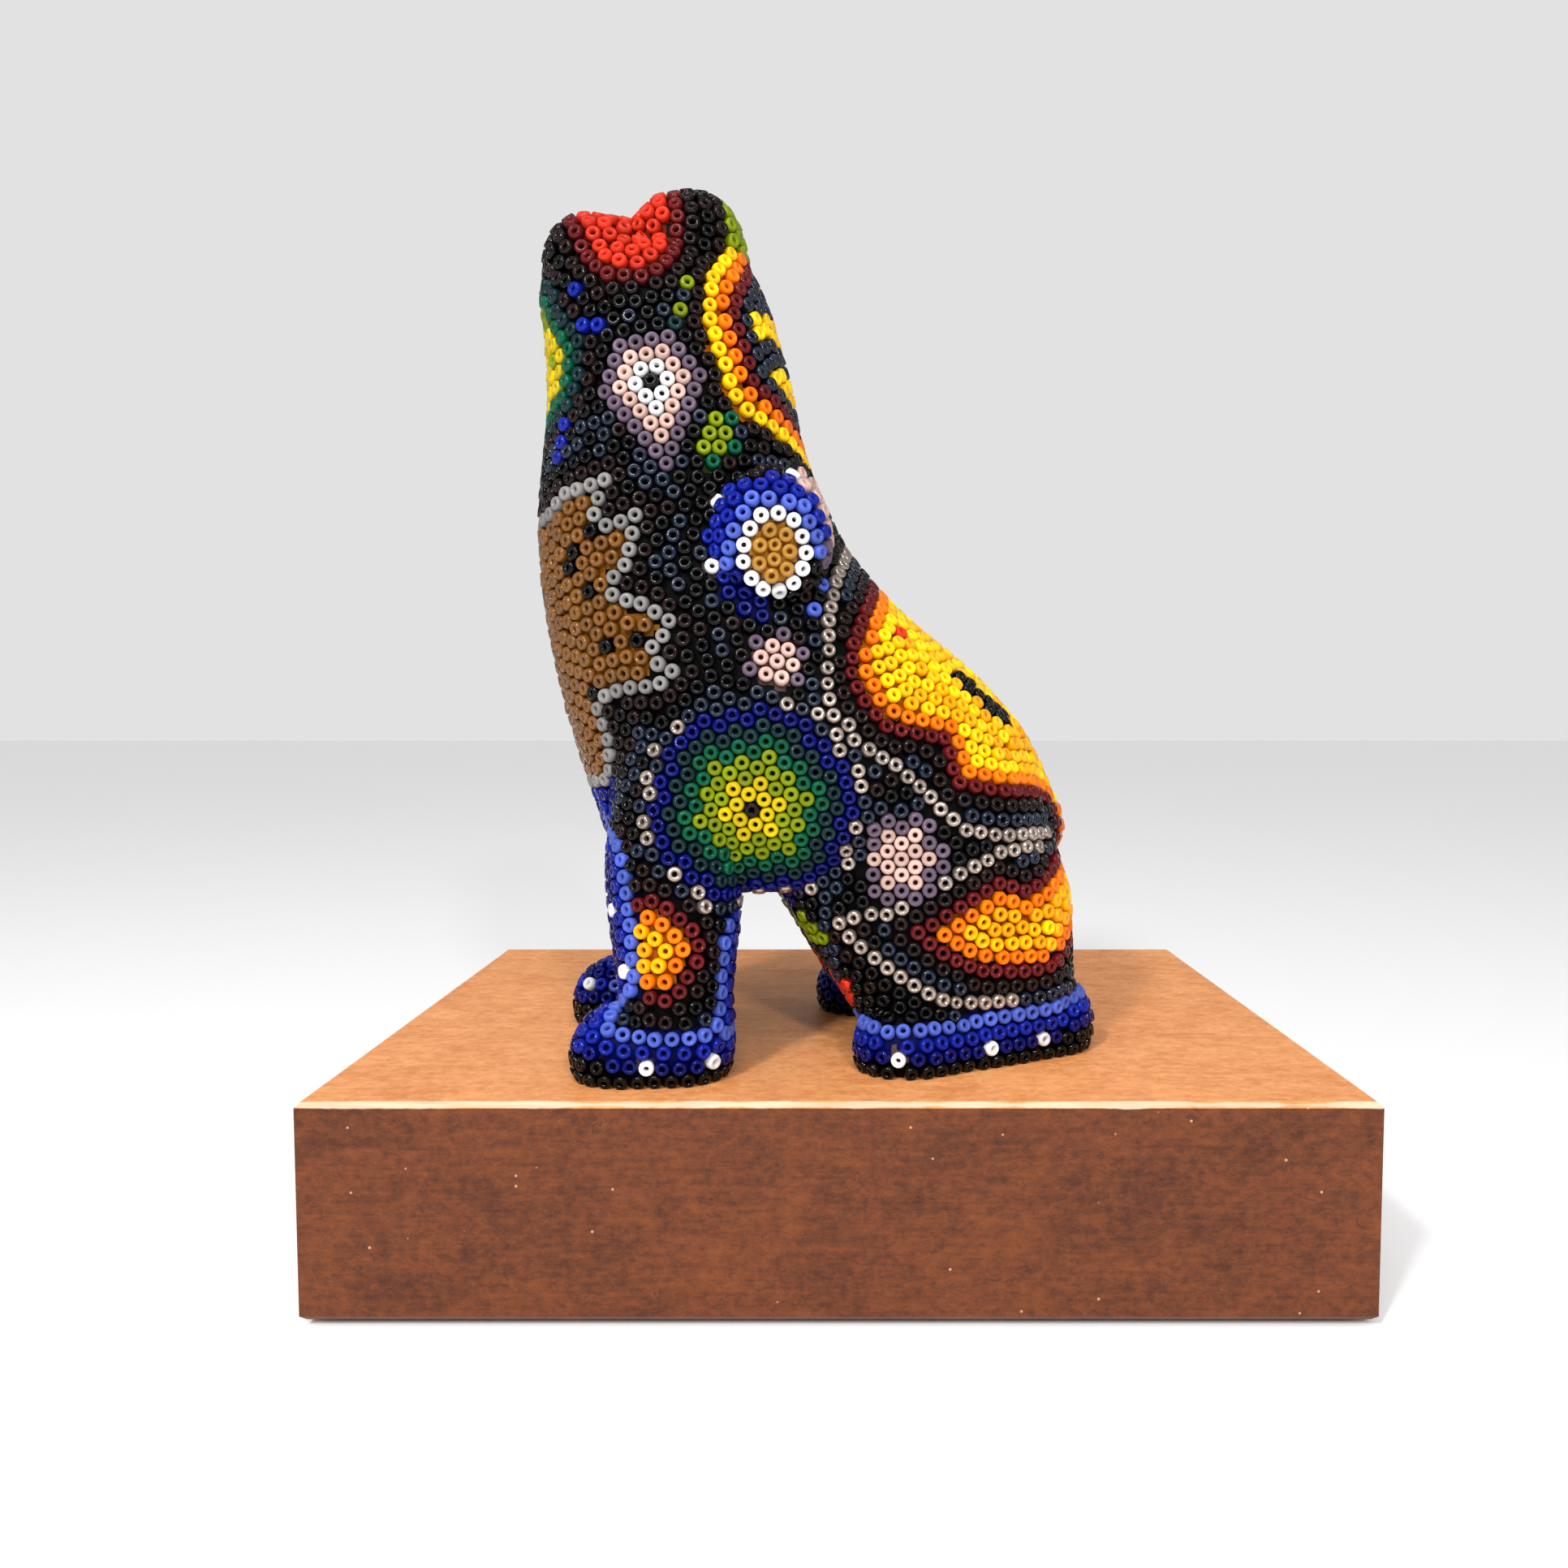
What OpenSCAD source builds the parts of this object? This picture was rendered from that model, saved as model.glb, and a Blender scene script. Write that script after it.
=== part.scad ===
// Beaded animal figure: a carved seated animal with its head thrown back, coated
// with wax and covered with glass beads in coloured motifs, on a wooden display block.
// X runs from the animal's front to its back, Y across it, Z up. Units are millimetres.

/* [Plinth] */
// Length of the wooden block
plinth_length = 138; // [120:1:180]
// Depth of the wooden block
plinth_depth = 100; // [80:1:140]
// Height of the wooden block
plinth_height = 28.5; // [15:0.5:45]
// Eased edge of the wooden block
plinth_edge = 0.7; // [0.3:0.1:2]
// Thickness of the felt pad
felt = 1; // [0.5:0.5:3]
// Margin from the block's edge to the felt
felt_inset = 3; // [1:0.5:8]

/* [Figure] */
// Height of the figure over its standard height
figure_scale = 1; // [0.8:0.05:1.1]
// Turn of the figure on the block, in degrees
figure_turn = 9; // [-20:1:20]
// Distance of the figure in front of the block's middle
figure_forward = 18; // [10:1:22]

/* [Covering] */
// Thickness of the wax coat
wax = 0.8; // [0.4:0.1:1]
// Outside diameter of a bead
bead = 2.1; // [1.5:0.1:2.5]
// Part of each bead that stands out of the wax
bead_proud = 0.62; // [0.4:0.01:0.8]

/* [Hidden] */

// Offset of the outer face of the beads from the carved core
skin = wax + bead * bead_proud;
ring_points = 22;
far = 80;

// Carved trunk, neck and head: height, front, back, half width, squareness
stations = [
    [26.2, -31, 30, 15, 2.4],
    [32, -32.5, 32.3, 19, 2.4],
    [38, -34.5, 30, 20.5, 2.3],
    [46, -37, 26, 20.5, 2.2],
    [54, -39, 18.5, 19, 2.2],
    [62, -40.5, 8.5, 17.5, 2.2],
    [71, -41.5, 0.2, 16, 2.2],
    [79, -41.5, -4.1, 15, 2.2],
    [88, -40.5, -7.5, 14.5, 2.2],
    [96, -40, -9, 13.5, 2.2],
    [104, -40.5, -11.3, 12, 2.2],
    [109, -41, -13, 10.5, 2.2],
    [112.5, -39, -15.5, 8, 2.2],
];

// Balls of the limbs and lobes: centre, radius
front_leg = [[[-22, 9, 42], 9.5], [[-24.8, 12, 26.5], 7.9], [[-25, 15, 12], 6], [[-24.8, 15.5, 5], 6.3]];
front_foot = [[[-24.8, 15.5, 3.5], 6], [[-32.3, 15.5, 3], 5.2]];
right_toe_forward = 1.2;
haunch = [
    [[14, 8, 34], 13], [[4, 9.5, 28], 10], [[-1.8, 9.5, 27.5], 7.2],
    [[9, 12.5, 11], 8], [[22, 8, 20], 9.8], [[23.5, 9, 7], 8.5]
];
hind_foot = [[[6.5, 17.5, 3], 5.5], [[28.5, 9, 3.5], 6.5]];
upper_jaw = [
    [[-21.3, 2, 115.7], 5.4], [[-21.3, -2, 115.7], 5.4],
    [[-24.8, 1.5, 115.4], 5], [[-24.8, -1.5, 115.4], 5], [[-22, 0, 104], 9]
];
lower_jaw = [
    [[-35.6, 2.5, 112], 4.9], [[-35.6, -2.5, 112], 4.9],
    [[-32.3, 2.5, 112], 4.8], [[-32.3, -2.5, 112], 4.8], [[-34, 0, 102], 6]
];

// Ear mound, the hollow in it, and the furrow between the jaws
ear_at = [-12, 15.5, 72.5];
ear_size = [7, 5.5, 8];
ear_hollow_at = [-11.5, 25, 70.5];
ear_hollow = 6.5;
mouth_at = [-31, 0, 121.3];
mouth_furrow = 5;

// Outlines of the motifs, seen from the side: x, z
mouth_outline = [
    [-38, 124], [-37.5, 112], [-34, 108], [-29.5, 105.5], [-26, 107], [-23.5, 110.5], [-22.5, 114.5], [-24, 124]
];
throat_outline = [
    [-60, 112], [-40, 112], [-36.5, 107.5], [-34.5, 102], [-34.5, 98], [-37, 95.5], [-37.5, 90.5],
    [-40, 86.5], [-41.5, 84], [-60, 84]
];
crest_outline = [
    [20, 126], [-18, 126], [-19, 113.5], [-22.5, 107], [-22.5, 102.5], [-19, 99], [-18, 92.5],
    [-14, 89.5], [-7, 84.5], [20, 84.5]
];
chest_outline = [
    [-60, 82], [-41.5, 82], [-34, 80], [-35, 75.5], [-29.5, 74.5], [-31.5, 68.5], [-28.5, 64], [-23.5, 60.5],
    [-27.5, 57.5], [-23.5, 53.5], [-30.5, 51], [-33.5, 51], [-35, 48], [-33.5, 39.5], [-60, 39.5]
];
back_outline = [
    [60, 67.5], [3, 67.5], [-2, 56.5], [-1.5, 49], [4, 45.5], [10, 44], [12.5, 40.5], [19.5, 39.5],
    [28, 38], [30.5, 35], [31, 31], [60, 31]
];
rump_outline = [
    [60, 31], [31, 31], [28, 27], [21, 26.5], [14, 24], [8, 19], [14, 15], [22.5, 12.5], [31, 12], [60, 12]
];
eye_outline = [
    [-27.5, 99.5], [-22.5, 97.5], [-21, 94.5], [-21.5, 90], [-23, 85.5], [-25.5, 81],
    [-28.5, 85], [-31.5, 87.5], [-33, 92], [-33, 96.5], [-30.5, 98.5]
];
cheek_outline = [[-19.5, 89], [-16.5, 89], [-15.5, 85], [-19.5, 82], [-21.5, 85]];
star_outline = [
    [-14.5, 49], [-27.5, 43], [-27.5, 32], [-21, 28], [-8.5, 26.5], [-1.5, 31.5], [-0.5, 37], [-2.5, 42.5]
];
leg_flame_outline = [[-30.5, 25], [-25.5, 24.5], [-21.5, 20], [-21.5, 14], [-24, 11], [-29, 11], [-30.5, 17]];
leg_flame_from = 14;

// Round motifs: centre x, z, and radii along x and z
ear_round = [-12.5, 72.5, 9, 10];
ear_cup_round = [-11.5, 70.5, 5.5, 6];
shoulder_flower_round = [-11.5, 56, 5, 5];
hip_flower_round = [5, 30, 5.8, 5.8];

// Heights where the ground beads change from one part to the next
head_from = 84;
neck_from = 54;
legs_to = 26;
front_foot_to = 7;
hind_foot_to = 6.5;
legs_part = -8;

// Smooth stations: a Catmull-Rom curve with one extra section between two stations
function spline(p, i, u) =
    let (
        n = len(p) - 1,
        a = p[max(i - 1, 0)],
        b = p[i],
        c = p[min(i + 1, n)],
        d = p[min(i + 2, n)]
    )
    (2 * b + (c - a) * u + (2 * a - 5 * b + 4 * c - d) * u * u + (3 * b - a - 3 * c + d) * u * u * u) / 2;

rings = [
    for (i = [0 : len(stations) - 2], u = [0, 0.5]) spline(stations, i, u),
    stations[len(stations) - 1]
];
last = len(rings) - 1;

// Sideways growth of a section, so that the surface moves out by t along its normal
function lean(i, c) =
    let (a = rings[max(i - 1, 0)], b = rings[min(i + 1, last)])
    min(abs((b[c] - a[c]) / (b[0] - a[0])), 1.2);
function grow(i, c, t) = t * sqrt(1 + lean(i, c) * lean(i, c));
function lift(i, t) = i == 0 ? -t : i == last ? t : i == last - 1 ? t / 2 : 0;
function rounded(v, n) = sign(v) * pow(abs(v), 2 / n);
function section(i, t) =
    let (
        r = rings[i],
        front = r[1] - grow(i, 1, t),
        back = r[2] + grow(i, 2, t),
        half = r[3] + grow(i, 3, t)
    )
    [
        for (k = [0 : ring_points - 1])
            let (a = 360 * k / ring_points)
            [
                (front + back) / 2 + (back - front) / 2 * rounded(cos(a), r[4]),
                half * rounded(sin(a), r[4]),
                r[0] + lift(i, t)
            ]
    ];

// Trunk, neck and head as one lofted solid, grown by t
module trunk(t) {
    points = [for (i = [0 : last]) each section(i, t)];
    faces = [
        [for (k = [0 : ring_points - 1]) k],
        for (i = [0 : last - 1], k = [0 : ring_points - 1])
            let (a = i * ring_points + k, b = i * ring_points + (k + 1) % ring_points)
            each [[a, a + ring_points, b], [b, a + ring_points, b + ring_points]],
        [for (k = [ring_points - 1 : -1 : 0]) last * ring_points + k]
    ];
    polyhedron(points, faces);
}

module ball(b, t) {
    translate(b[0]) sphere(b[1] + t, $fn = 12);
}

module chain(balls, t) {
    for (i = [0 : len(balls) - 2])
        hull() {
            ball(balls[i], t);
            ball(balls[i + 1], t);
        }
}

module lump(balls, t) {
    hull() for (b = balls) ball(b, t);
}

function toe(side) = [
    front_foot[1][0] - [side > 0 ? right_toe_forward : 0, 0, 0],
    front_foot[1][1]
];

module ear(t) {
    translate(ear_at) scale([for (r = ear_size) (r + t) / 10]) sphere(10, $fn = 14);
}

// The whole carved figure, grown by t, with flat soles at its lowest level
module form(t) {
    difference() {
        union() {
            trunk(t);
            lump(upper_jaw, t);
            lump(lower_jaw, t);
            for (side = [-1, 1])
                scale([1, side, 1]) {
                    chain(front_leg, t);
                    chain([front_foot[0], toe(side)], t);
                    lump(haunch, t);
                    lump(hind_foot, t);
                    ear(t);
                }
        }
        translate(mouth_at) rotate([90, 0, 0])
            cylinder(60, r = mouth_furrow - t, center = true, $fn = 16);
        for (side = [-1, 1])
            translate([ear_hollow_at[0], side * ear_hollow_at[1], ear_hollow_at[2]])
                sphere(ear_hollow - t, $fn = 12);
        translate([-far, -far, -far]) cube([2 * far, 2 * far, far]);
    }
}

// The layer of beads over the wax
module bead_layer() {
    difference() {
        form(skin);
        form(wax);
    }
}

module place() {
    translate([0, -figure_forward, felt + plinth_height]) rotate(figure_turn) scale(figure_scale)
        children();
}

// Prisms across the figure, from a distance off its middle plane:
// side -1 is the animal's left, 1 its right, 0 both
module across(side, from = 0) {
    translate([0, side < 0 ? -from : far, 0]) rotate([90, 0, 0])
        linear_extrude(side == 0 ? 2 * far : far - from) children();
}

module outline_prism(outline, side, from = 0) {
    across(side, from) polygon(outline);
}

module round_prism(r, side) {
    across(side) translate([r[0], r[1]]) scale([r[2], r[3]]) circle(1, $fn = 14);
}

// Height band of the figure, on one side or both, from x0 to x1
module band(side, x0, x1, z0, z1) {
    translate([x0, side > 0 ? 0 : -far, z0]) cube([x1 - x0, side == 0 ? 2 * far : far, z1 - z0]);
}

module feet_bands(side) {
    band(side, -far, legs_part, -1, front_foot_to);
    band(side, legs_part, far, -1, hind_foot_to);
}

// All motif prisms, which the ground beads leave free
module motifs() {
    outline_prism(mouth_outline, 0);
    outline_prism(throat_outline, 0);
    outline_prism(crest_outline, 0);
    outline_prism(chest_outline, 0);
    outline_prism(back_outline, 0);
    outline_prism(rump_outline, 0);
    outline_prism(eye_outline, 0);
    outline_prism(cheek_outline, 0);
    outline_prism(star_outline, 0);
    outline_prism(leg_flame_outline, -1, leg_flame_from);
    outline_prism(leg_flame_outline, 1, leg_flame_from);
    round_prism(ear_round, 0);
    round_prism(shoulder_flower_round, 0);
    round_prism(hip_flower_round, 0);
    feet_bands(0);
}

module patch(tint) {
    color(tint) place() intersection() {
        bead_layer();
        children();
    }
}

module ground(side, x0, x1, z0, z1) {
    color("#1b1b22") place() difference() {
        intersection() {
            bead_layer();
            band(side, x0, x1, z0, z1);
        }
        motifs();
    }
}

module plinth() {
    module slab(inset, low, high) {
        translate([inset - plinth_length / 2, inset - plinth_depth / 2, low])
            cube([plinth_length - 2 * inset, plinth_depth - 2 * inset, high - low]);
    }
    color("#7a3b1e") translate([0, 0, felt]) hull() {
        slab(plinth_edge, 0, plinth_height);
        slab(0, plinth_edge, plinth_height - plinth_edge);
    }
}

module plinth_felt() {
    l = plinth_length - 2 * felt_inset;
    d = plinth_depth - 2 * felt_inset;
    color("#101010") translate([-l / 2, -d / 2, 0]) cube([l, d, felt]);
}

module body_core() {
    color("#b98a5a") place() form(0);
}

module wax_coat() {
    color("#3a2a18") place() difference() {
        form(wax);
        form(0);
    }
}

module mouth_beads() {
    patch("#e23b1c") outline_prism(mouth_outline, 0);
}

module throat_beads() {
    patch("#9cc420") outline_prism(throat_outline, 0);
}

module crest_beads() {
    patch("#f08a10") outline_prism(crest_outline, 0);
}

module chest_beads() {
    patch("#a8681c") across(0) offset(delta = -bead) polygon(chest_outline);
}

module chest_zigzag_beads() {
    patch("#e6ddd2") across(0) difference() {
        polygon(chest_outline);
        offset(delta = -bead) polygon(chest_outline);
    }
}

module back_beads() {
    patch("#f6b40c") outline_prism(back_outline, 0);
}

module rump_beads() {
    patch("#f39a10") outline_prism(rump_outline, 0);
}

module eye_beads(side) {
    patch("#d9b9c2") outline_prism(eye_outline, side);
}

module cheek_beads(side) {
    patch("#8fc21e") outline_prism(cheek_outline, side);
}

module ear_cup_beads(side) {
    patch("#b8841c") round_prism(ear_cup_round, side);
}

module ear_beads(side) {
    patch("#2440c0") difference() {
        round_prism(ear_round, side);
        round_prism(ear_cup_round, side);
    }
}

module shoulder_flower_beads(side) {
    patch("#e8b7b4") round_prism(shoulder_flower_round, side);
}

module star_beads(side) {
    patch("#1d8a5c") outline_prism(star_outline, side);
}

module hip_flower_beads(side) {
    patch("#e8b7b4") round_prism(hip_flower_round, side);
}

module leg_flame_beads(side) {
    patch("#f07c10") outline_prism(leg_flame_outline, side, leg_flame_from);
}

module front_foot_beads(side) {
    patch("#2744c8") band(side, -far, legs_part, -1, front_foot_to);
}

module hind_foot_beads(side) {
    patch("#2744c8") band(side, legs_part, far, -1, hind_foot_to);
}

module head_ground_beads() {
    ground(0, -far, far, head_from, 2 * far);
}

module neck_ground_beads() {
    ground(0, -far, far, neck_from, head_from);
}

module trunk_ground_beads() {
    ground(0, -far, far, legs_to, neck_from);
}

module front_leg_ground_beads(side) {
    ground(side, -far, legs_part, 0, legs_to);
}

module hind_leg_ground_beads(side) {
    ground(side, legs_part, far, 0, legs_to);
}

plinth();
plinth_felt();
body_core();
wax_coat();
mouth_beads();
throat_beads();
crest_beads();
chest_beads();
chest_zigzag_beads();
back_beads();
rump_beads();
eye_beads(-1);  // eye_beads_left
eye_beads(1);  // eye_beads_right
cheek_beads(-1);  // cheek_beads_left
cheek_beads(1);  // cheek_beads_right
ear_cup_beads(-1);  // ear_cup_beads_left
ear_cup_beads(1);  // ear_cup_beads_right
ear_beads(-1);  // ear_beads_left
ear_beads(1);  // ear_beads_right
shoulder_flower_beads(-1);  // shoulder_flower_beads_left
shoulder_flower_beads(1);  // shoulder_flower_beads_right
star_beads(-1);  // star_beads_left
star_beads(1);  // star_beads_right
hip_flower_beads(-1);  // hip_flower_beads_left
hip_flower_beads(1);  // hip_flower_beads_right
leg_flame_beads(-1);  // leg_flame_beads_left
leg_flame_beads(1);  // leg_flame_beads_right
front_foot_beads(-1);  // front_foot_beads_left
front_foot_beads(1);  // front_foot_beads_right
hind_foot_beads(-1);  // hind_foot_beads_left
hind_foot_beads(1);  // hind_foot_beads_right
head_ground_beads();
neck_ground_beads();
trunk_ground_beads();
front_leg_ground_beads(-1);  // front_leg_ground_beads_left
front_leg_ground_beads(1);  // front_leg_ground_beads_right
hind_leg_ground_beads(-1);  // hind_leg_ground_beads_left
hind_leg_ground_beads(1);  // hind_leg_ground_beads_right
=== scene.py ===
"""Looks of the beaded animal figure and its display block.

Glass seed beads are laid row by row over the waxed carving: first the rows that outline
the motifs, then row after row from those until the surface is full. Each bead takes its
colour from the motif it lies in. The layout works in millimetres in the figure's own
frame: x from its front to its back, y from its left to its right, z up from its soles.
"""

import heapq
import math
import random

import bpy
import numpy as np
from mathutils import Matrix, Vector
from mathutils.bvhtree import BVHTree
from mathutils.kdtree import KDTree


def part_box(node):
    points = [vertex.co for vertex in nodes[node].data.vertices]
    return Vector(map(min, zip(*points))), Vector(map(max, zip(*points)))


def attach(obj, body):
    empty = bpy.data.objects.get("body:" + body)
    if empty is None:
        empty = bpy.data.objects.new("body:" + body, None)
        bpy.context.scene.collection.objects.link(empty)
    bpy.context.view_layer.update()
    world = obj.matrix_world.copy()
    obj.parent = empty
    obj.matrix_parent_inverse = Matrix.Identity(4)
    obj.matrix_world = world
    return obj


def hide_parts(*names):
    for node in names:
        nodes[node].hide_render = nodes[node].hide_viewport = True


# Figure on its block
FIGURE_TURN = 9  # degrees
FIGURE_FORWARD = 18  # mm in front of the block's middle
MM = 0.001

# Covering, mm
WAX = 0.8
SEAT = 0.55  # middle of a bead above the wax
PITCH = 2.13
BEAD_RADIUS = 1.065
BEAD_HOLE = 0.31
BEAD_HEIGHT = 1.5
LOWEST = 1.05  # middle of the lowest beads above the soles

# Strength of the white sky: as a backdrop, and as a light
SKY_SEEN, SKY_CAST = 0.76, 0.4

random.seed(11)
rng = np.random.default_rng(11)

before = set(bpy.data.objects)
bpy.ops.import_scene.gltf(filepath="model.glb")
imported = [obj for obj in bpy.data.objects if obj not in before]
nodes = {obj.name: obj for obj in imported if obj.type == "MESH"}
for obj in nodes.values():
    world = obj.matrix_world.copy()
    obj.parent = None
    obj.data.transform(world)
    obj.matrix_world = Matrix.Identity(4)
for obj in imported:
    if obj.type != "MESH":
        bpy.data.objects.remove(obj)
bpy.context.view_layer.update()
block_low, block_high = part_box("plinth")
place = Matrix.Translation((0, -FIGURE_FORWARD * MM, block_high.z)) @ Matrix.Rotation(
    math.radians(FIGURE_TURN), 4, "Z"
)


# ---------------------------------------------------------------- camera, floor, light
def look(obj, target):
    obj.rotation_euler = (Vector(target) - obj.location).to_track_quat("-Z", "Y").to_euler()


def add_camera():
    camera = bpy.data.objects.new("camera", bpy.data.cameras.new("camera"))
    bpy.context.scene.collection.objects.link(camera)
    camera.data.lens = 28
    camera.data.sensor_width = 36
    camera.data.shift_x = -0.033
    camera.location = (-0.0004, -0.2015, 0.079)
    camera.rotation_euler = (math.radians(90 - 3.44), 0, 0)
    bpy.context.scene.camera = camera


def add_light(name, kind, location, power):
    light = bpy.data.objects.new(name, bpy.data.lights.new(name, kind))
    bpy.context.scene.collection.objects.link(light)
    light.data.energy = power
    light.location = location
    look(light, (0, -0.02, 0.08))
    return light


def add_floor():
    """Plain pale paper."""
    bpy.ops.mesh.primitive_plane_add(size=6, location=(0, 0, 0))
    floor = bpy.context.object
    floor.name = "floor"
    material, nt, shader = new_material("floor_paper")
    shader.inputs["Base Color"].default_value = (0.96, 0.96, 0.96, 1)
    shader.inputs["Roughness"].default_value = 0.9
    shader.inputs["Specular IOR Level"].default_value = 0.1
    bump(nt, shader, 300, 0.05, 0.0002)
    floor.data.materials.append(material)


def add_world():
    """White behind the stage, and a weaker sky that lights it."""
    world = bpy.data.worlds.new("studio")
    bpy.context.scene.world = world
    world.use_nodes = True
    nt = world.node_tree
    shader = nt.nodes["Background"]
    shader.inputs["Color"].default_value = (1, 1, 1, 1)
    path = add_node(nt, "ShaderNodeLightPath")
    n = Nodes(nt)
    seen = n.math("MULTIPLY", path.outputs["Is Camera Ray"], SKY_SEEN - SKY_CAST)
    nt.links.new(n.math("ADD", seen, SKY_CAST), shader.inputs["Strength"])


def add_lights():
    """A wide soft panel and two small lamps, which give each bead its glints."""
    panel = add_light("sky_panel", "SUN", (-0.1, -0.6, 0.82), 1.35)
    panel.data.angle = math.radians(40)
    for name, location, power, size in (
        ("lamp_left", (-0.22, -0.45, 0.42), 2.0, 0.05),
        ("lamp_right", (0.12, -0.5, 0.3), 1.2, 0.04),
    ):
        lamp = add_light(name, "AREA", location, power)
        lamp.data.size = size


# ---------------------------------------------------------------- materials
def new_material(name):
    material = bpy.data.materials.new(name)
    material.use_nodes = True
    return material, material.node_tree, material.node_tree.nodes["Principled BSDF"]


def add_node(nt, kind, inputs=None, **settings):
    node = nt.nodes.new(kind)
    for key, value in settings.items():
        setattr(node, key, value)
    for key, value in (inputs or {}).items():
        node.inputs[key].default_value = value
    return node


def bump(nt, shader, scale, strength, distance, stretch=(1, 1, 1)):
    coords = add_node(nt, "ShaderNodeTexCoord")
    mapping = add_node(nt, "ShaderNodeMapping", {"Scale": stretch})
    noise = add_node(nt, "ShaderNodeTexNoise", {"Scale": scale, "Detail": 3})
    relief = add_node(nt, "ShaderNodeBump", {"Strength": strength, "Distance": distance})
    nt.links.new(coords.outputs["Object"], mapping.inputs["Vector"])
    nt.links.new(mapping.outputs["Vector"], noise.inputs["Vector"])
    nt.links.new(noise.outputs["Fac"], relief.inputs["Height"])
    nt.links.new(relief.outputs["Normal"], shader.inputs["Normal"])
    return noise


# Bead colours: linear colour, kind of glass, and the painted glow or shade that colours the wax between them
PALETTE = {
    "vermilion": ((0.55, 0.025, 0.008), "opaque", "red"),
    "maroon": ((0.1, 0.005, 0.006), "opaque", "dark"),
    "brown": ((0.008, 0.003, 0.003), "opaque", "dark"),
    "black": ((0.001, 0.001, 0.0012), "opaque", "dark"),
    "gunmetal": ((0.004, 0.008, 0.02), "steel", "dark"),
    "pearl": ((0.38, 0.31, 0.27), "lustre", "dark"),
    "white": ((0.72, 0.72, 0.73), "opaque", "pale"),
    "grey_white": ((0.2, 0.19, 0.185), "opaque", "dark"),
    "pink": ((0.55, 0.36, 0.31), "opaque", "pale"),
    "lilac": ((0.11, 0.075, 0.11), "opaque", "dark"),
    "yellow": ((0.95, 0.53, 0.002), "opaque", "warm"),
    "golden": ((0.88, 0.36, 0.0), "opaque", "warm"),
    "lemon": ((0.52, 0.38, 0.0), "opaque", "green"),
    "orange": ((0.82, 0.16, 0.0), "opaque", "warm"),
    "lime": ((0.17, 0.22, 0.0), "opaque", "green"),
    "green": ((0.0, 0.07, 0.032), "opaque", "green"),
    "teal": ((0.003, 0.017, 0.021), "opaque", "dark"),
    "navy": ((0.0, 0.002, 0.09), "opaque", "blue"),
    "blue": ((0.003, 0.01, 0.22), "opaque", "blue"),
    "light_blue": ((0.062, 0.1, 0.45), "opaque", "blue"),
    "amber": ((0.24, 0.088, 0.008), "clear", "honey"),
    "gold": ((0.56, 0.27, 0.025), "clear", "gold"),
}
# Painted light on the wax: a glow in the colour of the clear and bright beads over it, and near black shade
# between dark beads.
WAX_GLOW_AND_SHADE = {
    "dark": (0.0014, 0.0012, 0.0012),
    "red": (0.12, 0.008, 0.003),
    "pale": (0.08, 0.045, 0.04),
    "warm": (0.28, 0.07, 0.002),
    "green": (0.015, 0.03, 0.005),
    "blue": (0.002, 0.003, 0.05),
    "honey": (0.19, 0.07, 0.006),
    "gold": (0.4, 0.17, 0.015),
}
# Roughness and specular level of each kind of glass
FINISHES = {"opaque": (0.1, 0.2), "steel": (0.14, 0.42), "lustre": (0.14, 0.5), "clear": (0.06, 0.5)}
SHADES = (0.86, 1.0, 1.14)


def bead_material(name, shade):
    colour, kind, _ = PALETTE[name]
    material, nt, shader = new_material(f"glass_{name}_{SHADES.index(shade)}")
    shader.inputs["Base Color"].default_value = (*(min(c * shade, 1) for c in colour), 1)
    roughness, specular = FINISHES[kind]
    shader.inputs["Roughness"].default_value = roughness
    shader.inputs["Specular IOR Level"].default_value = specular
    if kind == "lustre":
        shader.inputs["Metallic"].default_value = 0.7
    if kind == "clear":
        shader.inputs["Transmission Weight"].default_value = 0.4
    bump(nt, shader, 900, 0.08, 0.0001)
    return material


# ---------------------------------------------------------------- the waxed carving
def to_figure(points):
    """From the shared frame, in metres, to the figure's, in millimetres; to_shared goes back."""
    inverse = np.array(place.inverted())
    return (points @ inverse[:3, :3].T + inverse[:3, 3]) / MM


def to_shared(points):
    matrix = np.array(place)
    return (points * MM) @ matrix[:3, :3].T + matrix[:3, 3]


def smoothed(points, edges, steps):
    """Taubin smoothing: rounds the facets off without shrinking the form."""
    count = len(points)
    a, b = edges[:, 0], edges[:, 1]
    degree = np.bincount(np.concatenate([a, b]), minlength=count)[:, None]
    for step in range(steps * 2):
        mean = np.stack(
            [
                np.bincount(a, points[b, k], count) + np.bincount(b, points[a, k], count)
                for k in range(3)
            ],
            1,
        ) / degree
        points = points + (0.6 if step % 2 == 0 else -0.62) * (mean - points)
        points[:, 2] = np.maximum(points[:, 2], 0)
    return points


def normals_of(points, quads):
    face = np.cross(points[quads[:, 2]] - points[quads[:, 0]], points[quads[:, 3]] - points[quads[:, 1]])
    normal = np.stack(
        [sum(np.bincount(quads[:, c], face[:, k], len(points)) for c in range(4)) for k in range(3)], 1
    )
    return normal / np.linalg.norm(normal, axis=1)[:, None]


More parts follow.
